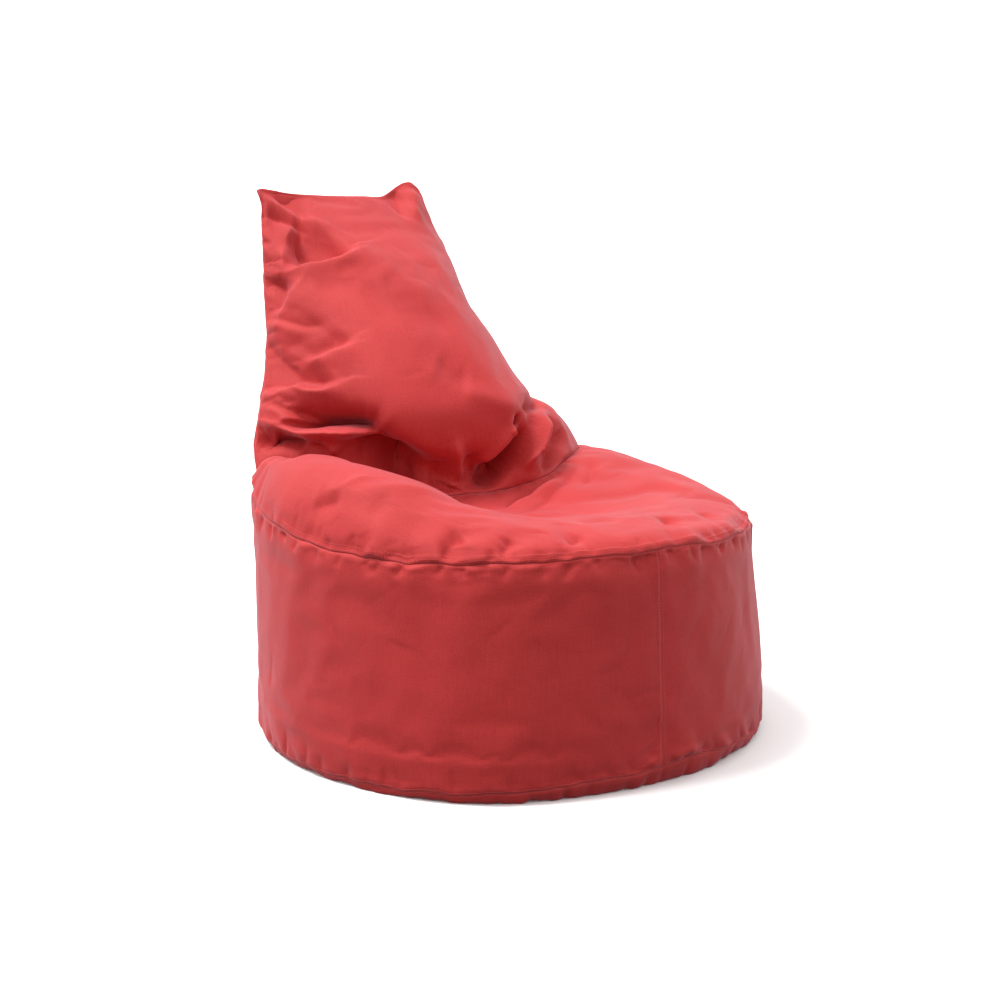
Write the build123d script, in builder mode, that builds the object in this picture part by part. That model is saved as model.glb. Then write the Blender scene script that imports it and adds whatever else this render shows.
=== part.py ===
from build123d import *
from math import atan2, sin
import os

# Bean bag chair: a drum of canvas with a dished seat, and a wedge-shaped backrest that rises from its rear.
# Millimetres. X is across the chair, -Y is the front, +Y the rear, +Z up.
# The origin is the centre of the flat base, on the floor.

# ---------------------------------------------------------------- drum
floor_radius = 376           # the part of the base that rests on the floor
wall_radius = 408            # at the base seam and just above it
wall_upright_height = 60     # the wall is upright to here, which keeps the zip on a plain cylinder
wall_middle_radius = 405
wall_middle_height = 210
base_seam_height = 24
seam_radius = 395            # the seam between the band and the seat
seam_height = 355
shoulder_radius = 350        # the stuffed roll round the seat
shoulder_height = 391
crest_radius = 290
crest_height = 405
slope_radius = 240           # the slope from the roll down into the dish
slope_height = 398
dish_edge_radius = 190
dish_edge_height = 384
dish_radius = 95
dish_height = 372
dish_centre_height = 368

# ---------------------------------------------------------------- backrest
# Level stations, from inside the drum to the top seam. Each is a lens with its two points at the side seams:
# height, half width, y of the front face's middle, y of the rear face's middle.
backrest_stations = [
    (345, 298, 92, 382),
    (395, 325, 104, 402),
    (450, 294, 108, 419),
    (500, 264, 122, 432),
    (550, 239, 150, 446),
    (600, 218, 195, 461),
    (650, 203, 262, 477),
    (700, 190, 340, 494),
    (770, 175, 446, 519),
    (842, 160, 536, 549),
]
top_inset_rise = 6.0         # an inner layer ends this many times its inset below the top seam

# The side seams lie in one leaning plane.
side_seam_low_y = 240        # at the first station
side_seam_lean = 0.6106      # y gained for each unit of height

# ---------------------------------------------------------------- layers, as insets from the outer surface
canvas_thickness = 2.0
liner_inset = 8.0
liner_thickness = 1.0
fill_inset = 9.5

# ---------------------------------------------------------------- zip, in the rear of the base seam
zip_height = 41              # the middle of the coils
zip_arc = 90.0               # degrees about the drum's axis
zip_middle_angle = 90.0      # the rear of the chair, measured from +X
zip_gap = 1.2                # between the two rows of coil, where the slider's web runs
coil_width = 2.9
coil_inner_radius = 405.9
coil_outer_radius = 408.1
tape_inner_radius = 406.4
tape_outer_radius = 407.6
tape_top_height = 57
stop_arc = 0.4
stop_inner_radius = 405.7
stop_outer_radius = 408.3

# ---------------------------------------------------------------- slider and pull
slider_length = 13
slider_front_half_width = 6.2
slider_rear_half_width = 4.9
slider_corner = 1.0
plate_thickness = 1.5
top_plate_radius = 408.5     # the inner face of the outer plate
bottom_plate_radius = 404.0  # the inner face of the inner plate
flange_width = 1.0
flange_depth = 0.55
web_width = 0.6
web_length = 2.5
slider_end_margin = 1.2      # degrees from the slider's middle to the end of the coils

bail_leg_offset = 3.5        # from the middle of the slider to the middle of each leg
bail_thickness = 1.0
bail_width = 1.6
bail_height = 4.0

pull_axis_height = 1.5       # above the outer plate
pull_bar_radius = 0.6
pull_thickness = 1.0
pull_length = 30
pull_width = 7.0
pull_tip_width = 9.0
pull_slot_length = 6.0
pull_slot_width = 3.2
pull_hole_radius = 1.8
pull_hole_setback = 5.0

# ---------------------------------------------------------------- care label
label_angle = 28.0
label_arc = 6.5
label_low_height = 26
label_high_height = 56
label_thickness = 0.8

os.makedirs("parts", exist_ok=True)

zip_start_angle = zip_middle_angle - zip_arc / 2
slider_angle = zip_start_angle + zip_arc - slider_end_margin


# ================================================================ the drum

def base_profile(inset):
    """The base, from the axis out to the base seam, moved in by inset."""
    with BuildLine() as profile:
        flat = Line((0, inset), (floor_radius, inset))
        TangentArc(flat @ 1, (wall_radius - inset, base_seam_height), tangent=flat % 1)
    return profile.line


def wall_profile(inset):
    """The wall, from the base seam up to the top seam, moved in by inset."""
    with BuildLine() as profile:
        upright = Line((wall_radius - inset, base_seam_height), (wall_radius - inset, wall_upright_height))
        ThreePointArc(
            upright @ 1,
            (wall_middle_radius - inset, wall_middle_height),
            (seam_radius - inset, seam_height),
        )
    return profile.line


def seat_profile(inset):
    """The seat, from the top seam over the stuffed roll and down to the middle of the dish."""
    with BuildLine() as profile:
        roll = ThreePointArc(
            (seam_radius - inset, seam_height),
            (shoulder_radius, shoulder_height - inset),
            (crest_radius, crest_height - inset),
        )
        slope = ThreePointArc(
            roll @ 1,
            (slope_radius, slope_height - inset),
            (dish_edge_radius, dish_edge_height - inset),
        )
        ThreePointArc(slope @ 1, (dish_radius, dish_height - inset), (0, dish_centre_height - inset))
    return profile.line


def drum_envelope(inset):
    """The whole drum, its surface moved in by inset."""
    base = base_profile(inset)
    wall = wall_profile(inset)
    seat = seat_profile(inset)
    with BuildPart() as drum:
        with BuildSketch(Plane.XZ):
            with BuildLine():
                add([base, wall, seat])
                Line(seat @ 1, base @ 0)
            make_face()
        revolve(axis=Axis.Z)
    return drum.part


def turned_skin(profile, inset, thickness, start_angle=0, arc=360):
    """A skin of revolution between a profile at two insets."""
    outer = profile(inset)
    inner = profile(inset + thickness)
    with BuildPart() as piece:
        with BuildSketch(Plane.XZ.rotated((0, 0, start_angle))):
            with BuildLine():
                add(outer)
                add(inner)
                Line(outer @ 0, inner @ 0)
                Line(outer @ 1, inner @ 1)
            make_face()
        revolve(axis=Axis.Z, revolution_arc=arc)
    return piece.part


# ================================================================ the backrest

def side_seam_y(height):
    """Where the side seams' plane is at a height."""
    return side_seam_low_y + side_seam_lean * (height - backrest_stations[0][0])


side_seam_plane = Plane(
    origin=(0, side_seam_low_y, backrest_stations[0][0]),
    x_dir=(1, 0, 0),
    z_dir=(0, 1, -side_seam_lean),
)


def station_between(below, above, height):
    """The lens at a height between two stations."""
    along = (height - below[0]) / (above[0] - below[0])
    return tuple(low + along * (high - low) for low, high in zip(below, above))


def backrest_envelope(inset):
    """The backrest as a loft of lenses, its surface moved in by inset."""
    top_height = backrest_stations[-1][0] - top_inset_rise * inset
    top_station = station_between(backrest_stations[-2], backrest_stations[-1], top_height)
    with BuildPart() as backrest:
        for height, half_width, front_y, rear_y in backrest_stations[:-1] + [top_station]:
            seam_y = side_seam_y(height)
            # A sharp lens has a long point, which an inset shortens by more than the inset.
            half_point_angle = atan2(seam_y - front_y, half_width) + atan2(rear_y - seam_y, half_width)
            point_x = half_width - inset / sin(half_point_angle)
            with BuildSketch(Plane.XY.offset(height)):
                with BuildLine():
                    ThreePointArc((-point_x, seam_y), (0, front_y + inset), (point_x, seam_y))
                    ThreePointArc((point_x, seam_y), (0, rear_y - inset), (-point_x, seam_y))
                make_face()
        loft(ruled=True)
    return backrest.part


def backrest_skin(inset, thickness, keep):
    """The backrest's skin outside the drum, ahead of the side seams' plane or behind it."""
    with BuildPart() as piece:
        add(backrest_envelope(inset))
        add(backrest_envelope(inset + thickness), mode=Mode.SUBTRACT)
        add(drum_envelope(inset), mode=Mode.SUBTRACT)
        split(bisect_by=side_seam_plane, keep=keep)
    return piece.part


def seat_skin(inset, thickness, keep):
    """The seat's skin, open under the backrest, ahead of the side seams' plane or behind it."""
    with BuildPart() as piece:
        add(turned_skin(seat_profile, inset, thickness))
        add(backrest_envelope(inset + thickness), mode=Mode.SUBTRACT)
        split(bisect_by=side_seam_plane, keep=keep)
    return piece.part


def ring_piece(inner_radius, outer_radius, low, high, start_angle, arc):
    """A rectangle turned about the drum's axis from start_angle through arc degrees."""
    with BuildPart() as piece:
        with BuildSketch(Plane.XZ.rotated((0, 0, start_angle))):
            with Locations(((inner_radius + outer_radius) / 2, (low + high) / 2)):
                Rectangle(outer_radius - inner_radius, high - low)
        revolve(axis=Axis.Z, revolution_arc=arc)
    return piece.part


def finish(piece, name):
    """Label a finished piece and write it."""
    piece.part.label = name
    export_step(piece.part, f"parts/{name}.step")


# ================================================================ canvas cover

with BuildPart() as seat_panel:
    add(seat_skin(0, canvas_thickness, Keep.BOTTOM))
finish(seat_panel, "seat_panel")

with BuildPart() as backrest_front_panel:
    add(backrest_skin(0, canvas_thickness, Keep.BOTTOM))
finish(backrest_front_panel, "backrest_front_panel")

# The rear panel runs down over the strip of the drum behind the side seams, as far as the top seam.
with BuildPart() as backrest_rear_panel:
    add(backrest_skin(0, canvas_thickness, Keep.TOP))
    add(seat_skin(0, canvas_thickness, Keep.TOP))
finish(backrest_rear_panel, "backrest_rear_panel")

# The band's lower edge is cut back over the zip, and the zip's lower tape reaches the base seam.
zip_slot = ring_piece(
    wall_radius - 2 * canvas_thickness,
    wall_radius + canvas_thickness,
    base_seam_height,
    tape_top_height,
    zip_start_angle - stop_arc,
    zip_arc + 2 * stop_arc,
)

# Plane.XZ faces the front, so the left half of the band is turned from +Y and the right half from -Y.
with BuildPart() as side_band_left:
    add(turned_skin(wall_profile, 0, canvas_thickness, start_angle=90, arc=180))
    add(zip_slot, mode=Mode.SUBTRACT)
finish(side_band_left, "side_band_left")

with BuildPart() as side_band_right:
    add(turned_skin(wall_profile, 0, canvas_thickness, start_angle=-90, arc=180))
    add(zip_slot, mode=Mode.SUBTRACT)
finish(side_band_right, "side_band_right")

with BuildPart() as base_panel:
    add(turned_skin(base_profile, 0, canvas_thickness))
finish(base_panel, "base_panel")

# ================================================================ liner and beads

with BuildPart() as liner_seat_panel:
    add(seat_skin(liner_inset, liner_thickness, Keep.BOTTOM))
finish(liner_seat_panel, "liner_seat_panel")

with BuildPart() as liner_backrest_front_panel:
    add(backrest_skin(liner_inset, liner_thickness, Keep.BOTTOM))
finish(liner_backrest_front_panel, "liner_backrest_front_panel")

with BuildPart() as liner_backrest_rear_panel:
    add(backrest_skin(liner_inset, liner_thickness, Keep.TOP))
    add(seat_skin(liner_inset, liner_thickness, Keep.TOP))
finish(liner_backrest_rear_panel, "liner_backrest_rear_panel")

with BuildPart() as liner_side_band:
    add(turned_skin(wall_profile, liner_inset, liner_thickness))
finish(liner_side_band, "liner_side_band")

with BuildPart() as liner_base_panel:
    add(turned_skin(base_profile, liner_inset, liner_thickness))
finish(liner_base_panel, "liner_base_panel")

with BuildPart() as bead_fill:
    add(drum_envelope(fill_inset))
    add(backrest_envelope(fill_inset))
finish(bead_fill, "bead_fill")

# ================================================================ zip

coil_low = zip_height + zip_gap / 2
coil_high = coil_low + coil_width

with BuildPart() as zip_coil_upper:
    add(ring_piece(coil_inner_radius, coil_outer_radius, coil_low, coil_high, zip_start_angle, zip_arc))
finish(zip_coil_upper, "zip_coil_upper")

with BuildPart() as zip_coil_lower:
    add(zip_coil_upper.part)
    mirror(about=Plane.XY.offset(zip_height), mode=Mode.REPLACE)
finish(zip_coil_lower, "zip_coil_lower")

with BuildPart() as zip_tape_upper:
    add(
        ring_piece(
            tape_inner_radius,
            tape_outer_radius,
            coil_high,
            tape_top_height,
            zip_start_angle - stop_arc,
            zip_arc + 2 * stop_arc,
        )
    )
finish(zip_tape_upper, "zip_tape_upper")

with BuildPart() as zip_tape_lower:
    add(
        ring_piece(
            tape_inner_radius,
            tape_outer_radius,
            base_seam_height,
            2 * zip_height - coil_high,
            zip_start_angle - stop_arc,
            zip_arc + 2 * stop_arc,
        )
    )
finish(zip_tape_lower, "zip_tape_lower")

with BuildPart() as zip_stops:
    for stop_angle in (zip_start_angle - stop_arc, zip_start_angle + zip_arc):
        add(
            ring_piece(
                stop_inner_radius,
                stop_outer_radius,
                2 * zip_height - coil_high,
                coil_high,
                stop_angle,
                stop_arc,
            )
        )
finish(zip_stops, "zip_stops")

# The slider's own plane: local x runs along the zip towards its closed end, local y runs up, and the plane's
# normal points out of the drum. The plane stands on the drum's axis, so an offset is a radius.
slider_plane = Plane(origin=(0, 0, zip_height), x_dir=(-1, 0, 0), z_dir=(0, 1, 0)).rotated(
    (0, 0, slider_angle - 90)
)


def slider_outline(shrink):
    """The slider's shield shape, with its edge moved in by shrink."""
    with BuildSketch() as outline:
        with BuildLine():
            Polyline(
                (-slider_length / 2 + shrink, slider_rear_half_width - shrink),
                (slider_length / 2 - shrink, slider_front_half_width - shrink),
                (slider_length / 2 - shrink, shrink - slider_front_half_width),
                (-slider_length / 2 + shrink, shrink - slider_rear_half_width),
                close=True,
            )
        make_face()
        fillet(outline.vertices(), slider_corner)
    return outline.sketch


def slider_flange():
    """The two side rails of a plate, open at both ends for the tapes."""
    with BuildSketch() as rails:
        add(slider_outline(0))
        with BuildLine(mode=Mode.PRIVATE) as channel:
            Polyline(
                (-slider_length, slider_rear_half_width - flange_width),
                (slider_length, slider_front_half_width - flange_width),
                (slider_length, flange_width - slider_front_half_width),
                (-slider_length, flange_width - slider_rear_half_width),
                close=True,
            )
        make_face(channel.edges(), mode=Mode.SUBTRACT)
    return rails.sketch


outer_face_radius = top_plate_radius + plate_thickness

with BuildPart() as zip_slider:
    with BuildSketch(slider_plane.offset(top_plate_radius)):
        add(slider_outline(0))
    extrude(amount=plate_thickness)
    with BuildSketch(slider_plane.offset(bottom_plate_radius)):
        add(slider_outline(0))
    extrude(amount=plate_thickness)
    with BuildSketch(slider_plane.offset(top_plate_radius - flange_depth)):
        add(slider_flange())
    extrude(amount=flange_depth)
    with BuildSketch(slider_plane.offset(bottom_plate_radius + plate_thickness)):
        add(slider_flange())
    extrude(amount=flange_depth)
    # The web that parts the two rows of coil, and joins the plates.
    with BuildSketch(slider_plane.offset(bottom_plate_radius + plate_thickness)):
        with Locations((slider_length / 2 - web_length, 0)):
            Rectangle(web_length, web_width)
    extrude(amount=top_plate_radius - bottom_plate_radius - plate_thickness)
    # The bail, an arch along the zip that the pull's bar passes under.
    with BuildSketch(slider_plane.offset(outer_face_radius)):
        with Locations((-bail_leg_offset, 0), (bail_leg_offset, 0)):
            Rectangle(bail_thickness, bail_width)
    extrude(amount=bail_height)
    with BuildSketch(slider_plane.offset(outer_face_radius + bail_height - bail_thickness)):
        Rectangle(2 * bail_leg_offset, bail_width)
    extrude(amount=bail_thickness)
finish(zip_slider, "zip_slider")

# The pull lies along the zip at rest, away from its closed end.
pull_axis_radius = outer_face_radius + pull_axis_height

with BuildPart() as zip_pull:
    with BuildSketch(slider_plane.offset(pull_axis_radius - pull_thickness / 2)):
        with BuildLine():
            Polyline(
                (0, pull_width / 2),
                (0, -pull_width / 2),
                (-pull_slot_length - pull_width / 2, -pull_width / 2),
                (-pull_length + pull_tip_width / 2, -pull_tip_width / 2),
            )
            ThreePointArc(
                (-pull_length + pull_tip_width / 2, -pull_tip_width / 2),
                (-pull_length, 0),
                (-pull_length + pull_tip_width / 2, pull_tip_width / 2),
            )
            Polyline(
                (-pull_length + pull_tip_width / 2, pull_tip_width / 2),
                (-pull_slot_length - pull_width / 2, pull_width / 2),
                (0, pull_width / 2),
            )
        make_face()
        with Locations((-pull_slot_length / 2, 0)):
            Rectangle(pull_slot_length, pull_slot_width, mode=Mode.SUBTRACT)
        with Locations((-pull_length + pull_hole_setback, 0)):
            Circle(pull_hole_radius, mode=Mode.SUBTRACT)
    extrude(amount=pull_thickness)
    # The round bar that turns under the bail.
    with BuildSketch(Plane(slider_plane.offset(pull_axis_radius).origin, x_dir=slider_plane.z_dir, z_dir=(0, 0, 1))):
        Circle(pull_bar_radius)
    extrude(amount=pull_width / 2, both=True)
finish(zip_pull, "zip_pull")

# ================================================================ care label

with BuildPart() as care_label:
    add(
        ring_piece(
            wall_radius,
            wall_radius + label_thickness,
            label_low_height,
            label_high_height,
            label_angle - label_arc / 2,
            label_arc,
        )
    )
finish(care_label, "care_label")
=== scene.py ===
import math
import bpy
import numpy as np
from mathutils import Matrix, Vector
from mathutils.bvhtree import BVHTree


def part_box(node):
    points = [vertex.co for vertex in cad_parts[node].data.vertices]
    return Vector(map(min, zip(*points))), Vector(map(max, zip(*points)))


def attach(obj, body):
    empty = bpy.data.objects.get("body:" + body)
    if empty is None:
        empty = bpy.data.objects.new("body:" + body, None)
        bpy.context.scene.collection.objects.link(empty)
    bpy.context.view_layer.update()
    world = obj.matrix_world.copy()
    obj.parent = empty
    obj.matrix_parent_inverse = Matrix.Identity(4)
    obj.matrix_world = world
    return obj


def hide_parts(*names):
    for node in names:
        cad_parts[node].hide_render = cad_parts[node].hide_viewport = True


# A bean bag chair in red canvas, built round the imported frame. Metres, in the frame's own axes:
# X across the chair, -Y the front, +Y the rear, +Z up. An angle round the drum is in degrees,
# 0 at the front and positive towards +X.

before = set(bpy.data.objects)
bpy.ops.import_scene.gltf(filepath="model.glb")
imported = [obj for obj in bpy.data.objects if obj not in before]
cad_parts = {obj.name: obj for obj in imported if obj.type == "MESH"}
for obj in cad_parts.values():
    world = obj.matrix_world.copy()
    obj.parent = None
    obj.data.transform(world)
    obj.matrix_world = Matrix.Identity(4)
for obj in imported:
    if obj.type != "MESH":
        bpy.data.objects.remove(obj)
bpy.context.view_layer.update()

# ---------------------------------------------------------------- sizes from the frame
base_seam_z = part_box("base_panel")[1].z
wall_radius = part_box("base_panel")[1].x
zip_hem_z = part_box("zip_tape_upper")[1].z

# ---------------------------------------------------------------- camera
camera_place = (-1.832, -2.725, 1.05)
camera_target = (-0.059, -0.059, 0.386)
camera_lens = 74.25

# ---------------------------------------------------------------- mesh density of the cover
rear_corner = 130            # where the seat, the two backrest panels and the band meet
front_corner = 50            # where the seat's grid turns its corner
cells_across = 92
cells_deep = 74
cells_up_back = 76
hem_rows = 5                 # band rows below the top of the zip
wall_rows = 44
canvas_thickness = 0.0012
seam_wave = 0.0029            # height of the waves in the two round seams
fold_strength = 1.3           # the folds' heights are multiplied by this

# ---------------------------------------------------------------- inner bag, beads and zip
liner_inset = 0.0075
bead_inset = 0.0095
zip_half_arc = 45.0
slot_half_arc = 45.4          # the opening in the band that the zip fills
zip_half_width = 0.335        # the band and its sewing stay plain this far to each side of the zip's middle
tape_half_arc = 45.9          # the tapes end under the band
tape_radius = 0.4076
coil_radius = 0.4070
coil_depth = 0.00065
coil_reach = 0.0010
coil_thread = 0.00042


# ================================================================ smooth curves through knots

def cubic(first, second, first_slope, second_slope, s):
    """The cubic between two values with the given slopes, as s goes from 0 to 1."""
    return (
        first * (1 + 2 * s) * (1 - s) ** 2
        + first_slope * s * (1 - s) ** 2
        + second * s * s * (3 - 2 * s)
        + second_slope * s * s * (s - 1)
    )


def smooth_curve(knots, at, period=None):
    """The smooth curve through knots of (position, value, value...), read at positions."""
    knots = np.array(sorted(map(tuple, knots)), float)
    if period:
        before, after = knots[-2:].copy(), knots[:2].copy()
        before[:, 0] -= period
        after[:, 0] += period
        knots = np.vstack([before, knots, after])
        at = (np.asarray(at) + period / 2) % period - period / 2
    place, value = knots[:, 0], knots[:, 1:]
    slope = np.gradient(value, place, axis=0)
    at = np.atleast_1d(np.asarray(at, float))
    k = np.clip(np.searchsorted(place, at) - 1, 0, len(place) - 2)
    span = place[k + 1] - place[k]
    s = np.clip((at - place[k]) / span, 0, 1)[:, None]
    span = span[:, None]
    return cubic(value[k], value[k + 1], slope[k] * span, slope[k + 1] * span, s)


def even_line(points, count):
    """count + 1 points at equal distances along the smooth curve through points."""
    points = np.array(points, float)
    run = np.r_[0, np.cumsum(np.linalg.norm(np.diff(points, axis=0), axis=1))]
    fine = smooth_curve(np.c_[run, points], np.linspace(0, run[-1], 40 * len(points)))
    length = np.r_[0, np.cumsum(np.linalg.norm(np.diff(fine, axis=0), axis=1))]
    at = np.linspace(0, length[-1], count + 1)
    return np.stack([np.interp(at, length, fine[:, k]) for k in range(3)], axis=1)


def smooth_step(x):
    x = np.clip(x, 0, 1)
    return x * x * (3 - 2 * x)


def in_metres(rows):
    """Rows of numbers in millimetres as metres."""
    return [tuple(value / 1000 for value in row) for row in rows]


# ================================================================ outlines of the cover

# The seam between the band and the upper panels: angle, radius, height.
top_seam_knots = [
    (-180, 0.398, 0.376), (-155, 0.405, 0.387), (-130, 0.419, 0.398), (-115, 0.409, 0.381),
    (-90, 0.404, 0.362), (-60, 0.397, 0.352), (-30, 0.393, 0.356), (-8, 0.391, 0.362),
    (20, 0.388, 0.353), (50, 0.384, 0.342), (75, 0.385, 0.338), (105, 0.402, 0.354),
    (130, 0.434, 0.384), (155, 0.412, 0.382),
]
# The seam between the band and the base panel. Behind the rear corners it is the zip's plain circle.
base_seam_knots = [
    (-180, wall_radius, base_seam_z), (-135, wall_radius, base_seam_z), (-118, 0.409, 0.015),
    (-98, 0.414, 0.010), (-70, 0.418, 0.012), (-40, 0.425, 0.015), (-12, 0.408, 0.028),
    (15, 0.406, 0.032), (50, 0.412, 0.010), (80, 0.410, 0.013), (108, 0.412, 0.020),
    (135, wall_radius, base_seam_z),
]


def ring_angles():
    """The angles of the cover's columns, from the left rear corner round the front to it again."""
    left = np.linspace(-rear_corner, -front_corner, cells_deep + 1)
    front = np.linspace(-front_corner, front_corner, cells_across + 1)
    right = np.linspace(front_corner, rear_corner, cells_deep + 1)
    rear = np.linspace(rear_corner, 360 - rear_corner, cells_across + 1)
    return np.concatenate([left[:-1], front[:-1], right[:-1], rear[:-1]])


def on_circle(angle, radius, height):
    """Points round the drum."""
    turn = np.radians(angle)
    return np.stack([radius * np.sin(turn), -radius * np.cos(turn), height], axis=-1)


def plan_angle(points):
    """The angle round the drum of each point, in degrees."""
    return np.degrees(np.arctan2(points[..., 0], -points[..., 1]))


def noise(place, size, seed):
    """Smooth noise from -1 to 1 over places in metres, with features of about the given size."""
    lattice = np.random.default_rng(seed).uniform(-1, 1, (64, 64))
    scaled = np.asarray(place) / size
    cell = np.floor(scaled).astype(int)
    part = smooth_step(scaled - cell)
    x, y = cell[..., 0] % 64, cell[..., 1] % 64
    x1, y1 = (x + 1) % 64, (y + 1) % 64
    low = lattice[y, x] * (1 - part[..., 0]) + lattice[y, x1] * part[..., 0]
    high = lattice[y1, x] * (1 - part[..., 0]) + lattice[y1, x1] * part[..., 0]
    return low * (1 - part[..., 1]) + high * part[..., 1]


def seam_shape(knots, angle):
    """A seam's radius and height at angles, with the small waves that its gathers pull into it."""
    angle = (np.asarray(angle, float) + 180) % 360 - 180
    shape = smooth_curve(knots, angle.ravel(), period=360)
    run = np.radians(angle.ravel()) * wall_radius
    wave = noise(np.stack([run, 0 * run], -1), 0.045, 7) + 0.5 * noise(np.stack([run, 0 * run], -1), 0.019, 8)
    calm = smooth_step((rear_corner - 6 - np.abs(angle.ravel())) / 10)
    height = shape[:, 1] + seam_wave * wave * calm
    return shape[:, 0].reshape(angle.shape), height.reshape(angle.shape)


def seam_ring(knots):
    """The points of a seam round the drum, one for each column."""
    angle = ring_angles()
    return on_circle(angle, *seam_shape(knots, angle))


def ring_sides(ring):
    """A ring's front, rear, left and right runs: across from -X to +X, and from the front to the rear."""
    closed = np.vstack([ring, ring[:1]])
    first, second, third = cells_deep, cells_deep + cells_across, 2 * cells_deep + cells_across
    front = closed[first:second + 1]
    right = closed[second:third + 1]
    rear = closed[third:][::-1]
    left = closed[:first + 1][::-1]
    return front, rear, left, right


def coons(front, rear, left, right):
    """The patch between four runs, as rows from the front to the rear."""
    across = np.linspace(0, 1, len(front))[None, :, None]
    deep = np.linspace(0, 1, len(left))[:, None, None]
    return (
        (1 - deep) * front[None] + deep * rear[None]
        + (1 - across) * left[:, None] + across * right[:, None]
        - (1 - deep) * (1 - across) * front[0] - (1 - deep) * across * front[-1]
        - deep * (1 - across) * rear[0] - deep * across * rear[-1]
    )


# The seam in the valley between the seat and the backrest, from the left rear corner to the right one.
# This table and the next five are in millimetres.
valley_knots = in_metres([
    (-294, 262, 424), (-250, 218, 404), (-178, 164, 376), (-90, 136, 361), (-10, 124, 358),
    (70, 102, 364), (130, 92, 378), (200, 130, 392), (275, 195, 396),
])
# The seams up both sides of the backrest, from the rear corners to the tips of the ears.
left_seam_knots = in_metres([
    (-308, 304, 443), (-277, 340, 502), (-247, 376, 563), (-231, 400, 604), (-211, 443, 677),
    (-189, 488, 755), (-176, 516, 801), (-168.5, 530, 824), (-168, 540, 838), (-169, 546, 847),
])
right_seam_knots = in_metres([
    (310, 296, 422), (276, 308, 443), (238, 318, 460), (207, 336, 492), (188, 368, 552),
    (167, 405, 622), (171, 458, 706), (163, 504, 780), (160, 528, 818), (159, 541, 838),
    (153, 548, 850),
])
top_edge_knots = in_metres([
    (-160, 548, 849), (-145, 546, 847), (-116, 541, 841), (-60, 536, 835), (36, 532, 830),
    (78, 533, 829), (95, 539, 835), (115, 545, 845), (133, 549, 851), (144, 550, 852),
])
# The middle of the backrest's front and rear, as y and z.
front_middle_knots = in_metres([
    (122, 400), (106, 450), (108, 500), (136, 550), (182, 602), (246, 658), (328, 716), (440, 782),
])
rear_middle_knots = in_metres([
    (424, 450), (447, 520), (468, 600), (492, 680), (518, 760),
])


# ================================================================ panels as grids of points

def band_grid(low_ring, high_ring):
    """The band: rows from the base seam to the top seam, one column for each ring point."""
    angle = ring_angles()
    low_radius = np.hypot(low_ring[:, 0], low_ring[:, 1])
    high_radius = np.hypot(high_ring[:, 0], high_ring[:, 1])
    rows = []
    for k in range(hem_rows + 1):
        along = k / hem_rows
        height = low_ring[:, 2] + along * (zip_hem_z - low_ring[:, 2])
        rows.append(on_circle(angle, low_radius, height))
    for k in range(1, wall_rows + 1):
        along = k / wall_rows
        height = zip_hem_z + along * (high_ring[:, 2] - zip_hem_z)
        bulge = 0.0022 * math.sqrt(max(math.sin(math.pi * along), 0))
        share = np.where(high_radius > low_radius, along ** 2.5, along)
        radius = low_radius + share * (high_radius - low_radius) + bulge
        rows.append(on_circle(angle, radius, height))
    return np.array(rows)


# The stuffed roll round the seat: angle, height of its crest, the crest's distance from the axis,
# and the two powers that say how full it is outside the crest.
roll_knots = [
    (-180, 0.440, 0.310, 2.0, 0.70), (-130, 0.458, 0.315, 2.1, 0.70),
    (-108, 0.463, 0.310, 2.2, 0.66), (-88, 0.462, 0.300, 2.2, 0.66), (-70, 0.448, 0.290, 2.1, 0.68),
    (-50, 0.416, 0.292, 2.2, 0.68), (-25, 0.394, 0.294, 2.4, 0.66), (0, 0.386, 0.292, 2.4, 0.66),
    (30, 0.377, 0.288, 2.3, 0.68), (60, 0.373, 0.278, 2.0, 0.76), (90, 0.388, 0.280, 1.7, 0.84),
    (115, 0.404, 0.300, 1.7, 0.82), (140, 0.412, 0.320, 1.8, 0.78),
]
dish_z = 0.346


def seat_height(x, y, seam_radius, seam_z):
    """The height of the seat's surface over the plan, before it meets the valley."""
    angle = np.degrees(np.arctan2(x, -y))
    radius = np.hypot(x, y)
    flat = smooth_curve(roll_knots, angle.ravel(), period=360)
    crest_z = flat[:, 0].reshape(angle.shape)
    crest_radius = flat[:, 1].reshape(angle.shape)
    inner_power = flat[:, 2].reshape(angle.shape)
    outer_power = flat[:, 3].reshape(angle.shape)
    outward = np.clip((radius - crest_radius) / (seam_radius - crest_radius), 0, 1)
    roll = seam_z + (crest_z - seam_z) * np.maximum(1 - outward ** inner_power, 0) ** outer_power
    inward = np.clip(radius / crest_radius, 0, 1)
    dish = dish_z + (crest_z - dish_z) * (0.5 - 0.5 * np.cos(math.pi * inward ** 1.25))
    return np.where(radius > crest_radius, roll, dish)


def seat_grid(top_ring, valley):
    """The seat: rows from the front of the top seam to the valley."""
    front, _, left, right = ring_sides(top_ring)
    plan = coons(front, valley, left, right)
    angle = plan_angle(plan)
    seam_radius, seam_z = seam_shape(top_seam_knots, angle)
    free = seat_height(plan[..., 0], plan[..., 1], seam_radius, seam_z)
    deep = np.linspace(0, 1, len(plan))[:, None]
    gap = valley[None, :, 2] - free[-1][None, :]
    plan[..., 2] = free + gap * deep ** 5
    plan[0, :] = front
    plan[-1, :] = valley
    plan[:, 0] = left
    plan[:, -1] = right
    return plan


def cross_section(width_count, power, sharpness):
    """How far a cross-section has reached its middle, from 0 at one side seam to 1 and back to 0."""
    across = np.linspace(-1, 1, width_count + 1)
    return (1 - np.abs(across) ** power) ** sharpness


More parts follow.
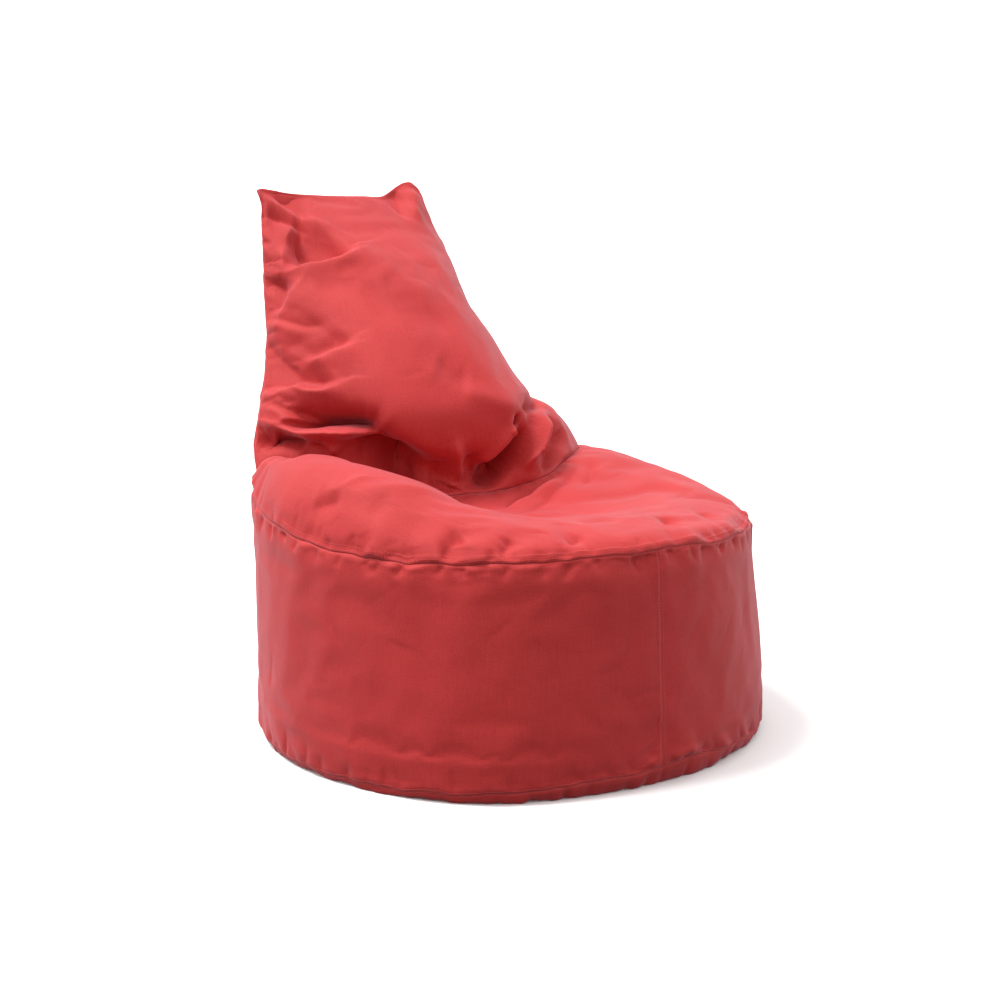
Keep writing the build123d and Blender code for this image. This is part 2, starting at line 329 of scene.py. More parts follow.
def back_grid(low_run, high_run, left_seam, right_seam, middle, power, sharpness):
    """A backrest panel: rows from the drum up to the top edge."""
    up = np.linspace(0, 1, len(left_seam))[:, None, None]
    across = np.linspace(0, 1, len(low_run))[None, :, None]
    chord = (1 - across) * left_seam[:, None] + across * right_seam[:, None]
    centre = np.repeat(middle[:, None], len(low_run), axis=1)
    centre[..., 0] = chord[..., 0]
    reach = cross_section(len(low_run) - 1, power, sharpness)[None, :, None]
    grid = chord + reach * (centre - chord)
    grid += (1 - up) ** 4 * (low_run[None] - grid[:1])
    grid += up ** 6 * (high_run[None] - grid[-1:])
    grid[0], grid[-1] = low_run, high_run
    grid[:, 0], grid[:, -1] = left_seam, right_seam
    return grid


def middle_line(start, knots, end, count):
    """The middle of a backrest panel as points with x left at 0."""
    points = [(0, start[1], start[2])] + [(0, y, z) for y, z in knots] + [(0, end[1], end[2])]
    return even_line(points, count)


def base_grid(low_ring):
    """The base panel: a rolled edge under the base seam, and flat on the floor."""
    plan = coons(*ring_sides(low_ring))
    radius = np.hypot(plan[..., 0], plan[..., 1])
    angle = plan_angle(plan)
    seam_radius, seam_z = seam_shape(base_seam_knots, angle)
    edge = np.clip(1 - (seam_radius - radius) / 0.022, 0, 1)
    plan[..., 2] = seam_z * (1 - np.sqrt(np.maximum(1 - edge ** 2, 0)))
    front, rear, left, right = ring_sides(low_ring)
    plan[0], plan[-1], plan[:, 0], plan[:, -1] = front, rear, left, right
    return plan


def cover_grids():
    """Every panel of the cover as a grid of points."""
    top_ring = seam_ring(top_seam_knots)
    low_ring = seam_ring(base_seam_knots)
    _, rear_run, _, _ = ring_sides(top_ring)
    left_corner, right_corner = rear_run[0], rear_run[-1]
    valley = even_line([left_corner] + valley_knots + [right_corner], cells_across)
    left_seam = even_line([left_corner] + left_seam_knots, cells_up_back)
    right_seam = even_line([right_corner] + right_seam_knots, cells_up_back)
    top_edge = even_line([left_seam[-1]] + top_edge_knots + [right_seam[-1]], cells_across)
    half = cells_across // 2
    front_middle = middle_line(valley[half], front_middle_knots, top_edge[half], cells_up_back)
    rear_middle = middle_line(rear_run[half], rear_middle_knots, top_edge[half], cells_up_back)
    return {
        "side_band": band_grid(low_ring, top_ring),
        "seat_panel": seat_grid(top_ring, valley),
        "backrest_front_panel": back_grid(
            valley, top_edge, left_seam, right_seam, front_middle, 2.1, 0.62
        ),
        "backrest_rear_panel": back_grid(
            rear_run, top_edge, left_seam, right_seam, rear_middle, 2.0, 0.75
        ),
        "base_panel": base_grid(low_ring),
    }


# ================================================================ a short cloth simulation

settle_frames = 16
settle_cap = 0.009           # no point moves farther than this
cloth_settings = {
    "quality": 4,
    "mass": 0.25,
    "tension_stiffness": 30,
    "compression_stiffness": 30,
    "shear_stiffness": 12,
    "bending_stiffness": 4,
    "air_damping": 2,
    "vertex_group_mass": "held",
    "pin_stiffness": 3,
    "vertex_group_shrink": "seams",
    "shrink_min": -0.010,     # the cloth is this much longer than the drawn shape, apart from its seams
    "shrink_max": 0.0,
    "use_pressure": True,
    "uniform_pressure_force": 1.2,
}


def outward_grids(grids):
    """The same grids, each turned so that columns x rows faces out of the bag."""
    turned = dict(grids)
    for name in ("backrest_rear_panel", "base_panel"):
        turned[name] = grids[name][:, ::-1]
    return turned


def grid_quads(index):
    """The faces between the points of an index grid."""
    corners = (index[:-1, :-1], index[:-1, 1:], index[1:, 1:], index[1:, :-1])
    return np.stack(corners, axis=-1).reshape(-1, 4)


def welded(grids):
    """The grids as one closed mesh: its points, its faces, and for each grid where its points went."""
    every = np.concatenate([grid.reshape(-1, 3) for grid in grids.values()])
    _, first, place = np.unique(np.round(every, 6), axis=0, return_index=True, return_inverse=True)
    place = place.reshape(-1)
    index = {}
    quads = []
    start = 0
    for name, grid in grids.items():
        count = grid.shape[0] * grid.shape[1]
        index[name] = place[start:start + count].reshape(grid.shape[:2])
        start += count
        closed = index[name]
        if name == "side_band":
            closed = np.concatenate([closed, closed[:, :1]], axis=1)
        quads.append(grid_quads(closed))
    return every[first], np.concatenate(quads), index


def settle(grids):
    """The cover after a short cloth simulation: stuffed from inside and slightly too large for its shape."""
    points, quads, places = welded(grids)
    hold = np.full(len(points), 0.10)
    seam = np.zeros(len(points))
    for name, index in places.items():
        if name == "side_band":
            borders = [index[0], index[-1]]
            behind = np.abs((ring_angles() + 180) % 360 - 180) > rear_corner - 4
            hold[index[:hem_rows + 2][:, behind]] = 1
        else:
            borders = [index[0], index[-1], index[:, 0], index[:, -1]]
        for border in borders:
            seam[border] = 1
        if name == "base_panel":
            hold[index] = 1
    hold = np.maximum(hold, 0.9 * seam)
    cloth_body = mesh_object("settling", points, quads)
    held = cloth_body.vertex_groups.new(name="held")
    seams = cloth_body.vertex_groups.new(name="seams")
    for value in np.unique(hold):
        held.add(np.nonzero(hold == value)[0].tolist(), float(value), "REPLACE")
    seams.add(np.nonzero(seam)[0].tolist(), 1.0, "REPLACE")
    cloth = cloth_body.modifiers.new("cloth", "CLOTH")
    for setting, value in cloth_settings.items():
        setattr(cloth.settings, setting, value)
    cloth.settings.effector_weights.gravity = 0
    cloth.collision_settings.use_collision = False
    cloth.collision_settings.use_self_collision = False
    scene = bpy.context.scene
    cloth.point_cache.frame_start = 1
    cloth.point_cache.frame_end = settle_frames
    for k in range(1, settle_frames + 1):
        scene.frame_set(k)
    settled = cloth_body.evaluated_get(bpy.context.evaluated_depsgraph_get()).to_mesh()
    moved = np.empty(len(points) * 3, np.float32)
    settled.vertices.foreach_get("co", moved)
    scene.frame_set(1)
    bpy.data.objects.remove(cloth_body, do_unlink=True)
    step = moved.reshape(-1, 3).astype(float) - points
    size = np.linalg.norm(step, axis=1, keepdims=True)
    step *= settle_cap * np.tanh(size / settle_cap) / np.maximum(size, 1e-9)
    share = np.full(len(points), 0.75)
    for name, index in places.items():
        if name == "side_band":
            share[index[2:-2]] = 0.4
        elif name == "backrest_front_panel":
            share[index[1:-1, 1:-1]] = 0.4
    share[hold == 1] = 0
    points = points + step * share[:, None]
    return {name: points[index] for name, index in places.items()}


# ================================================================ finer cloth

def hermite(values, at):
    """Values given at whole places, read smoothly at any places along the first axis."""
    slope = np.gradient(values, axis=0)
    k = np.clip(np.floor(at).astype(int), 0, len(values) - 2)
    s = (at - k).reshape((-1,) + (1,) * (values.ndim - 1))
    return cubic(values[k], values[k + 1], slope[k], slope[k + 1], s)


def graded(cells, count, crowd):
    """count + 1 places from 0 to cells, closer together near both ends by the factor crowd."""
    t = np.linspace(0, 1, count + 1)
    pace = crowd + (1 - crowd) * smooth_step(np.minimum(t, 1 - t) / 0.12)
    run = np.r_[0, np.cumsum((pace[1:] + pace[:-1]) / 2)]
    return run / run[-1] * cells


def finer(grid, rows, cols):
    """A grid read at finer places along its rows and columns."""
    tall = hermite(grid, rows)
    return hermite(tall.swapaxes(0, 1), cols).swapaxes(0, 1)


def panel_uv(grid):
    """The place of each point on the flat cut in metres, by the mean runs along rows and columns."""
    across = np.linalg.norm(np.diff(grid, axis=1), axis=-1).mean(axis=0)
    up = np.linalg.norm(np.diff(grid, axis=0), axis=-1).mean(axis=1)
    return np.stack(np.meshgrid(np.r_[0, np.cumsum(across)], np.r_[0, np.cumsum(up)]), axis=-1)


def grid_normals(grid):
    """Unit normals of a grid, facing along columns x rows."""
    normal = np.cross(np.gradient(grid, axis=1), np.gradient(grid, axis=0))
    return normal / np.maximum(np.linalg.norm(normal, axis=-1, keepdims=True), 1e-12)


def fold_height(plan, line, width, height, side=0.0):
    """The height of a fold that runs along a line over the plan and dies away at both of its ends.

    With side above 0 the fold is gentle on the left of its line and steep on the right.
    """
    line = np.array(line, float)
    length = np.r_[0, np.cumsum(np.linalg.norm(np.diff(line, axis=0), axis=1))]
    best = np.full(plan.shape[:2], 1e9)
    along = np.zeros(plan.shape[:2])
    left = np.zeros(plan.shape[:2])
    for k in range(len(line) - 1):
        run = line[k + 1] - line[k]
        offset = plan - line[k]
        t = np.clip((offset @ run) / (run @ run), 0, 1)
        gap = offset - t[..., None] * run
        distance = np.linalg.norm(gap, axis=-1)
        nearer = distance < best
        best = np.where(nearer, distance, best)
        along = np.where(nearer, (length[k] + t * (length[k + 1] - length[k])) / length[-1], along)
        left = np.where(nearer, np.sign(run[0] * offset[..., 1] - run[1] * offset[..., 0]), left)
    reach = width * (1 + side * left)
    fade = 0.20 + 0.80 * smooth_step(np.minimum(along, 1 - along) / 0.3)
    sharp = 1.35 if width < 0.014 else 1.75
    return height * fade * np.exp(-(best / reach) ** sharp)


def relief(plan, folds):
    """The height of several folds together."""
    return fold_strength * sum(fold_height(plan, *fold) for fold in folds)


def folds_in_metres(folds):
    return [(in_metres(line), width / 1000, height / 1000, side) for line, width, height, side in folds]


# Folds of the backrest's front panel in millimetres: a line of (x, z), half width, height and side.
backrest_folds = folds_in_metres([
    # the ears
    ([(-168, 838), (-147, 822), (-113, 802), (-70, 782)], 16, 10, -0.4),
    ([(-172, 806), (-147, 803), (-120, 795), (-104, 782)], 12, -14, 0.3),
    ([(-140, 842), (-116, 820), (-96, 800)], 20, -6, 0),
    ([(146, 842), (128, 812), (104, 788)], 18, 8, 0),
    ([(112, 838), (98, 812), (80, 795)], 16, -7, 0),
    # the strip beside the left seam
    ([(-131, 796), (-156, 772), (-170, 748), (-187, 716)], 8, 11, -0.5),
    ([(-114, 796), (-138, 770), (-152, 748)], 12, -12, 0.4),
    # the large fold below the left ear
    ([(-176, 732), (-150, 738), (-115, 745), (-68, 753)], 24, -30, 0.68),
    ([(-190, 712), (-156, 719), (-126, 724), (-97, 731), (-58, 745)], 10, 12, -0.5),
    ([(-160, 711), (-184, 686), (-202, 662), (-217, 630), (-230, 597)], 13, 12, 0.5),
    ([(-184, 708), (-200, 688), (-208, 668), (-219, 645)], 10, -15, 0),
    # soft folds down the left
    ([(-222, 583), (-184, 604), (-148, 620)], 13, -12, 0.5),
    ([(-226, 572), (-188, 592), (-146, 610)], 11, 7, -0.4),
    ([(-225, 640), (-196, 632), (-172, 640)], 10, -6, 0.3),
    ([(-262, 532), (-242, 557), (-226, 556), (-194, 558)], 17, -20, 0.5),
    ([(-276, 506), (-251, 535), (-243, 540), (-235, 533), (-216, 535), (-190, 552)], 9, 10, -0.4),
    ([(-293, 469), (-277, 497), (-263, 511), (-240, 518)], 9, 7, 0),
    ([(-275, 505), (-255, 508), (-232, 503)], 10, -8, 0.2),
    ([(-290, 473), (-268, 493), (-248, 496), (-232, 490)], 9, 8, -0.4),
    # the sharp fold above the left hip, and the hollow below its lip
    ([(-274, 484), (-256, 484), (-231, 491), (-201, 491), (-176, 486), (-158, 473)], 13, -60, 0.5),
    ([(-284, 476), (-259, 470), (-222, 474), (-198, 474), (-163, 469)], 9, 27, -0.3),
    ([(-236, 463), (-226, 450), (-212, 432)], 8, 14, 0.4),
    ([(-222, 455), (-190, 452), (-163, 448), (-135, 432), (-105, 410), (-60, 388)], 30, -72, -0.35),
    # the hollow where the backrest meets the left end of the seat
    ([(-306, 438), (-296, 452), (-281, 458), (-264, 456), (-250, 446)], 12, -30, 0.2),
    # the pinch on the right and the crease down from it
    ([(-5, 378), (23, 378), (48, 396), (79, 427), (99, 448), (120, 468)], 16, -50, 0.2),
    ([(10, 402), (34, 418), (56, 442), (78, 468)], 14, 12, 0),
    ([(66, 475), (69, 463), (78, 453), (94, 450)], 6, 10, 0),
    ([(78, 487), (90, 474)], 9, -32, 0),
    ([(104, 497), (132, 497), (165, 494), (200, 494)], 10, -20, 0),
    ([(165, 478), (139, 453), (114, 422), (90, 388)], 13, 18, 0),
    ([(190, 470), (165, 440), (140, 408)], 13, -14, 0),
    ([(240, 450), (200, 435), (160, 410)], 36, 8, 0),
    ([(218, 446), (182, 424), (153, 401), (125, 384)], 13, -16, 0),
    # the fan of folds above the middle of the seat
    ([(-40, 462), (-26, 424), (-15, 391), (-8, 374)], 12, 10, 0),
    ([(-12, 432), (3, 404), (14, 380)], 14, -12, 0),
    ([(-68, 420), (-46, 392), (-31, 376)], 16, -12, 0),
    # broad soft folds
    ([(-85, 800), (-57, 730), (-13, 690), (50, 662)], 36, 7, 0),
    ([(-106, 714), (-70, 677), (-11, 649), (40, 618)], 34, -6, 0),
    ([(-40, 585), (-16, 560), (10, 543)], 26, -6, 0),
    ([(-25, 535), (22, 522), (68, 502), (98, 482)], 18, 5, 0),
    ([(60, 760), (90, 700), (120, 640)], 40, 4, 0),
])
# Folds of the seat in millimetres: a line of (x, y), half width, height and side.
seat_folds = folds_in_metres([
    ([(5, 36), (51, 61), (88, 72), (150, 78)], 9, -8, 0),
    ([(5, 20), (51, 43), (95, 52), (150, 60)], 12, 5, 0),
    ([(0, -20), (87, 22), (140, 46), (200, 88)], 11, -7, 0),
    ([(155, 10), (194, 44), (230, 90)], 12, -6, 0),
    ([(-350, 190), (-330, 240), (-318, 262)], 30, 7, 0),
    ([(-374, -38), (-352, -66), (-300, -83)], 13, 5, 0),
    ([(-388, -35), (-374, -60), (-358, -86)], 13, -8, 0),
    ([(-360, -76), (-312, -120), (-256, -139), (-210, -160)], 18, 5, 0),
    ([(-300, -262), (-276, -262), (-256, -262)], 14, -9, 0),
    ([(-233, -318), (-214, -312), (-200, -300)], 12, -9, 0),
    ([(-135, -345), (-119, -345), (-98, -335)], 13, -8, 0),
    ([(-66, -280), (-20, -276), (-10, -310)], 18, -6, 0),
    ([(60, -345), (80, -310), (85, -290)], 15, -7, 0),
    ([(170, -310), (185, -280), (182, -255)], 14, -6, 0),
    ([(-220, 130), (-170, 80), (-120, 60)], 20, -6, 0),
    ([(-340, 120), (-290, 90), (-230, 70)], 22, 5, 0),
])


def pucker(along, away, seed, height=0.0028, slant=0.0):
    """The gathers beside a seam: short near it, with a few longer ones between them."""
    place = along + slant * away
    short = noise(np.stack([place, 0 * place], -1), 0.017, seed)
    long = noise(np.stack([place, 0 * place + 9.5], -1), 0.036, seed + 1)
    uneven = 0.55 + 0.45 * noise(np.stack([place, 0 * place + 4.5], -1), 0.09, seed + 2)
    start = smooth_step(away / 0.009)
    mixed = 0.8 * short * np.exp(-away / 0.014) + 1.2 * long * np.exp(-away / 0.038)
    return height * uneven * start * mixed


def gathers(along, away, seed, spacing=0.052, depth=0.0042):
    """Short pointed dents that start at a seam, at uneven spacing."""
    chance = np.random.default_rng(seed)
    height = np.zeros(along.shape)
    close = away < 0.065
    plan = np.stack([along[close], away[close]], -1)[None]
    total = np.zeros(plan.shape[:2])
    place = along.min() + spacing * chance.uniform(0.3, 0.9)
    while place < along.max():
        reach = chance.uniform(0.016, 0.040)
        slant = chance.uniform(-0.5, 0.5) * reach
        width = chance.uniform(0.0045, 0.0085)
        line = [(place, 0.002), (place + slant, reach)]
        narrow = 1.25 - np.clip(plan[..., 1] / reach, 0, 1)
        total += fold_height(plan, line, width, -depth * chance.uniform(0.35, 1.0)) * narrow
        place += spacing * chance.uniform(0.55, 1.45)
    height[close] = total[0]
    return height


def crumple(place, seed, creases=34):
    """The unevenness of much-used canvas: broad swells, soft dents and short random creases."""
    bent = place + 0.02 * np.stack([noise(place, 0.07, seed + 5), noise(place, 0.07, seed + 6)], -1)
    height = 0.0020 * noise(bent, 0.13, seed) + 0.0009 * noise(bent, 0.05, seed + 1)
    chance = np.random.default_rng(seed + 9)
    low, high = place.reshape(-1, 2).min(axis=0), place.reshape(-1, 2).max(axis=0)
    for _ in range(creases):
        middle = chance.uniform(low, high)
        heading = chance.uniform(-0.9, 0.9) + (math.pi / 2 if chance.uniform() < 0.35 else 0)
        reach = chance.uniform(0.014, 0.048) * np.array([math.cos(heading), math.sin(heading)])
        kink = chance.uniform(-0.006, 0.006, 2)
        line = [middle - reach, middle + kink, middle + reach]
        width = chance.uniform(0.0050, 0.010)
        depth = chance.uniform(-0.2, 0.10) * width
        height += fold_height(place, line, width, depth, chance.uniform(-0.5, 0.5))
    return height


def seam_roll(away):
    """How far cloth stands up beside a seam; at the seam itself it is held."""
    return 0.0021 * (1 - np.exp(-away / 0.0026))


def edge_runs(uv):
    """The distance of each point from the first row, last row, first column and last column."""
    across, up = uv[..., 0], uv[..., 1]
    return up, up[-1:] - up, across, across[:, -1:] - across


def made_finer(grid, rows, cols):
    """A finer grid, its places on the flat cut, and its distances from its four edges."""
    grid = finer(grid, rows, cols)
    uv = panel_uv(grid)
    return grid, uv, edge_runs(uv)


def raised(grid, height):
    return grid + grid_normals(grid) * height[..., None]


def seat_surface(grid):
    grid, uv, edges = made_finer(grid, graded(cells_deep, 190, 0.35), graded(cells_across, 236, 0.40))
    x, y = grid[..., 0], grid[..., 1]
    angle = np.degrees(np.arctan2(x, -y))
    seam_radius, seam_z = seam_shape(top_seam_knots, angle)
    plan_gap = seam_radius - np.hypot(x, y)
    rise = np.maximum(grid[..., 2] - seam_z, 0)
    away = np.where(plan_gap < 0.05, np.hypot(np.maximum(plan_gap, 0), rise), plan_gap)
    from_valley = edges[1]
    near = np.minimum(away, from_valley)
    height = relief(grid[..., :2], seat_folds) * smooth_step(near / 0.010)
    height += crumple(uv, 11) * smooth_step(near / 0.02)
    height += pucker(np.radians(angle) * 0.39, away, 21, 0.0058)
    height += gathers(np.radians(angle) * 0.39, away, 25) * smooth_step(away / 0.004)
    height += pucker(uv[..., 0], from_valley, 24, 0.0026)
    height += seam_roll(near)
    height += 0.0007 * smooth_step(away / 0.0015) * smooth_step((0.0125 - away) / 0.0015)
    return raised(grid, height), uv


def backrest_front_surface(grid):
    grid, uv, edges = made_finer(grid, graded(cells_up_back, 205, 0.45), graded(cells_across, 215, 0.40))
    low, high, left, right = edges
    near = np.minimum(np.minimum(low, high), np.minimum(left, right))
    plan = grid[..., [0, 2]]
    height = relief(plan, backrest_folds) * smooth_step(near / 0.010)
    room = 0.5 * np.minimum(high, np.minimum(left, right))
    room += 0.035 * smooth_step((0.53 - grid[..., 2]) / 0.05)
    height = np.maximum(height, -room)
    height += 0.6 * crumple(uv, 31) * smooth_step(near / 0.02)
    height += pucker(uv[..., 1], left, 41, 0.0040, 0.5) + pucker(uv[..., 1], right, 44, 0.0036, -0.5)
    height += gathers(uv[..., 1], left, 53, 0.045) + gathers(uv[..., 1], right, 54, 0.050)
    height += pucker(uv[..., 0], low, 50, 0.0026)
    height += seam_roll(np.minimum(low, np.minimum(left, right)))
    return raised(grid, height), uv


def backrest_rear_surface(grid):
    grid, uv, edges = made_finer(grid, graded(cells_up_back, 190, 0.45), graded(cells_across, 215, 0.40))
    low, high, left, right = edges
    near = np.minimum(np.minimum(low, high), np.minimum(left, right))
    height = crumple(uv, 61) * smooth_step(near / 0.02)
    height += pucker(uv[..., 1], left, 71, 0.0036, 0.4) + pucker(uv[..., 1], right, 74, 0.0036, -0.4)
    height += gathers(uv[..., 1], left, 83, 0.050) + gathers(uv[..., 1], right, 84, 0.050)
    height += gathers(uv[..., 0], low, 85, 0.055)
    height += pucker(uv[..., 0], high, 77, 0.0022) + pucker(uv[..., 0], low, 80, 0.0032)
    height += seam_roll(near)
    return raised(grid, height), uv


def over_zip(points):
    """Marks the places on the band that are above or below the zip."""
    return (points[..., 1] > 0.2) & (np.abs(points[..., 0]) < zip_half_width)


def band_surface(grid, first_column, last_column, seed):
    """One half of the band, between two vertical seams."""
    wrapped = np.concatenate([grid, grid, grid], axis=1)
    columns = grid.shape[1]
    rows = graded(hem_rows + wall_rows, 118, 0.42)
    cols = graded(last_column - first_column, 405, 0.6) + first_column + columns
    grid, uv, (low, high, left, right) = made_finer(wrapped, rows, cols)
    side = np.minimum(left, right)
    clear = np.where(over_zip(grid), smooth_step((grid[..., 2] - zip_hem_z - 0.004) / 0.03), 1.0)
    run = np.radians(plan_angle(grid)) * wall_radius
    near = np.minimum(np.minimum(low, high), side)
    height = pucker(run, high, seed + 11, 0.0056) + pucker(run, low, seed + 14, 0.0060, 0.7)
    height += gathers(run, high, seed + 21, 0.044, 0.0064) * smooth_step(high / 0.004)
    height += gathers(run, low, seed + 22, 0.060, 0.0048) * smooth_step(low / 0.004)
    height *= smooth_step(side / 0.02)
    height += (0.7 * crumple(uv, seed, 60) + band_swell(run, low)) * smooth_step(near / 0.02)
    height += pucker(uv[..., 1], side, seed + 17, 0.0022)
    height += seam_roll(np.minimum(low, high)) * (0.7 + 0.3 * smooth_step(side / 0.003))
    return raised(grid, height * clear), uv


def band_swell(run, low):
    """The pocket that the beads push out at the foot of the band, right of the front seam."""
    pocket = fold_height(np.stack([run, low], -1), [(0.015, 0.012), (0.075, 0.020)], 0.022, 0.006)
    hollow = fold_height(np.stack([run, low], -1), [(-0.03, 0.05), (-0.015, 0.02)], 0.018, -0.004)
    return pocket + hollow


def base_surface(grid):
    grid, uv, _ = made_finer(grid, graded(cells_deep, 180, 0.6), graded(cells_across, 220, 0.6))
    angle = plan_angle(grid)
    seam_radius, _ = seam_shape(base_seam_knots, angle)
    away = np.maximum(seam_radius - np.hypot(grid[..., 0], grid[..., 1]), 0)
    run = np.radians(angle) * wall_radius
    height = pucker(run, away, 96, 0.0060, 0.5) + gathers(run, away, 98, 0.055, 0.0050)
    height += 0.0022 * (1 - np.exp(-away / 0.0026))
    height *= smooth_step((rear_corner - 5 - np.abs(angle)) / 6) * (away < 0.06)
    grid = raised(grid, height)
    lift = 0.0006 + 0.0006 * noise(uv, 0.05, 91)
    flat = grid[..., 2] < 0.004
    grid[..., 2] = np.where(flat, np.maximum(grid[..., 2], 0) + lift * smooth_step(away / 0.05), grid[..., 2])
    return grid, uv


# ================================================================ meshes

def mesh_object(name, points, quads, uv=None):
    """A smooth-shaded mesh object, with a UV map in metres if uv gives a place for each point."""
    mesh = bpy.data.meshes.new(name)
    mesh.from_pydata(np.asarray(points).tolist(), [], np.asarray(quads).tolist())
    mesh.polygons.foreach_set("use_smooth", np.ones(len(mesh.polygons), bool))
    if uv is not None:
        layer = mesh.uv_layers.new(name="cut")
        corner = np.empty(len(mesh.loops), np.int32)
        mesh.loops.foreach_get("vertex_index", corner)
        layer.data.foreach_set("uv", uv[corner].astype(np.float32).ravel())
    mesh.update()
    obj = bpy.data.objects.new(name, mesh)
    bpy.context.scene.collection.objects.link(obj)
    return obj


def cloth_panel(name, grid, uv, thickness, keep=None):
    """A panel of cloth: the grid is its outer face, and its rim is closed. keep marks the cells to make."""
    rows, cols = grid.shape[:2]
    inner = grid - grid_normals(grid) * thickness
    points = np.concatenate([grid.reshape(-1, 3), inner.reshape(-1, 3)])
    index = np.arange(rows * cols).reshape(rows, cols)
    outer = grid_quads(index)
    if keep is not None:
        outer = outer[keep.ravel()]
    edges = np.concatenate([outer[:, [k, (k + 1) % 4]] for k in range(4)])
    code = edges[:, 0] * len(points) + edges[:, 1]
    reverse = edges[:, 1] * len(points) + edges[:, 0]
    rim = edges[~np.isin(code, reverse)]
    count = rows * cols
    under = outer[:, ::-1] + count
    sides = np.stack([rim[:, 1], rim[:, 0], rim[:, 0] + count, rim[:, 1] + count], axis=1)
    used, quads = np.unique(np.concatenate([outer, under, sides]), return_inverse=True)
    both = np.concatenate([uv.reshape(-1, 2), uv.reshape(-1, 2)])
    return mesh_object(name, points[used], quads.reshape(-1, 4), both[used])


def stitches(name, places, normals, pitch=0.0048, length=0.0036, radius=0.00045):
    """A row of sewing stitches along places on the cloth, each a short thread with sunk ends."""
    run = np.r_[0, np.cumsum(np.linalg.norm(np.diff(places, axis=0), axis=1))]
    count = max(2, int(run[-1] / pitch))
    centre = (np.arange(count) + 0.5) * run[-1] / count
    rings = []
    for offset, lift, size in ((-0.5, -0.9, 0.5), (-0.28, 0.55, 1), (0.28, 0.55, 1), (0.5, -0.9, 0.5)):
        at = centre + offset * length
        spot = np.stack([np.interp(at, run, places[:, k]) for k in range(3)], -1)
        out = np.stack([np.interp(at, run, normals[:, k]) for k in range(3)], -1)
        ahead = np.stack([np.interp(at + 1e-4, run, places[:, k]) for k in range(3)], -1)
        behind = np.stack([np.interp(at - 1e-4, run, places[:, k]) for k in range(3)], -1)
        along = ahead - behind
        side = np.cross(out, along)
        side /= np.maximum(np.linalg.norm(side, axis=1, keepdims=True), 1e-12)
        ring = []
        for turn in range(6):
            a = math.pi * turn / 3
            raise_by = lift + size * math.sin(a)
            ring.append(spot + out * radius * raise_by + side * radius * size * math.cos(a))
        rings.append(np.stack(ring, 1))
    points = np.stack(rings, 1).reshape(-1, 3)
    quads = []
    for r in range(3):
        for k in range(6):
            quads.append((r * 6 + k, r * 6 + (k + 1) % 6, r * 6 + 6 + (k + 1) % 6, r * 6 + 6 + k))
    for base in (0, 18):
        caps = [(base, base + 1, base + 2, base + 3), (base, base + 3, base + 4, base + 5)]
        quads += caps if base else [cap[::-1] for cap in caps]
    quads = np.array(quads)[None] + (np.arange(count) * 24)[:, None, None]
    return mesh_object(name, points, quads.reshape(-1, 4))


def on_surface(piece, starts, directions):
    """Where rays from the starts meet a piece: places and normals."""
    tree = BVHTree.FromPolygons(
        [v.co[:] for v in piece.data.vertices], [p.vertices[:] for p in piece.data.polygons]
    )
    places, normals = [], []
    for start, direction in zip(starts, directions):
        hit = tree.ray_cast(Vector(start), Vector(direction), 0.2)
        if hit[0] is not None:
            places.append(hit[0][:])
            normals.append(hit[1][:])
    return np.array(places), np.array(normals)


def near_edge(runs, distance):
    """The index of the grid line at about the given distance from an edge."""
    return int(np.argmin(np.abs(runs - distance)))


# ================================================================ materials

def shader(name):
    """A new material, its node tree and its Principled shader."""
    material = bpy.data.materials.new(name)
    material.use_nodes = True
    return material, material.node_tree, material.node_tree.nodes["Principled BSDF"]


def set_inputs(node, **values):
    for key, value in values.items():
        node.inputs[key.replace("_", " ")].default_value = value


def feed(tree, socket, value):
    """Gives a socket a number, a colour or the output of another node."""
    if isinstance(value, tuple):
        socket.default_value = (*value, 1)
    elif isinstance(value, (int, float)):
        socket.default_value = value
    elif value is not None:
        tree.links.new(value, socket)


def stretched_noise(tree, uv, across, along, detail=2):
    """Noise with the given number of features to the metre along each way of the cloth."""
    mapping = tree.nodes.new("ShaderNodeMapping")
    mapping.inputs["Scale"].default_value = (across, along, 1)
    texture = tree.nodes.new("ShaderNodeTexNoise")
    texture.inputs["Scale"].default_value = 1
    texture.inputs["Detail"].default_value = detail
    tree.links.new(uv, mapping.inputs["Vector"])
    tree.links.new(mapping.outputs["Vector"], texture.inputs["Vector"])
    return texture.outputs["Fac"]


def math_node(tree, operation, first, second=None):
    node = tree.nodes.new("ShaderNodeMath")
    node.operation = operation
    feed(tree, node.inputs[0], first)
    feed(tree, node.inputs[1], second)
    return node.outputs[0]


def weave_height(tree, uv, period):
    """The height of a plain weave, from -1 to 1."""
    split = tree.nodes.new("ShaderNodeSeparateXYZ")
    tree.links.new(uv, split.inputs[0])
    waves = []
    for axis in ("X", "Y"):
        turned = math_node(tree, "MULTIPLY", split.outputs[axis], 2 * math.pi / period)
        waves.append(math_node(tree, "SINE", turned))
    return math_node(tree, "MULTIPLY", waves[0], waves[1])


def ramp(tree, factor, stops):
    node = tree.nodes.new("ShaderNodeValToRGB")
    while len(node.color_ramp.elements) < len(stops):
        node.color_ramp.elements.new(0.5)
    for element, (place, colour) in zip(node.color_ramp.elements, stops):
        element.position = place
        element.color = (*colour, 1)
    tree.links.new(factor, node.inputs["Fac"])
    return node.outputs["Color"]


def mix_colour(tree, factor, first, second):
    node = tree.nodes.new("ShaderNodeMix")
    node.data_type = "RGBA"
    for socket, value in ((node.inputs[0], factor), (node.inputs[6], first), (node.inputs[7], second)):
        feed(tree, socket, value)
    return node.outputs[2]


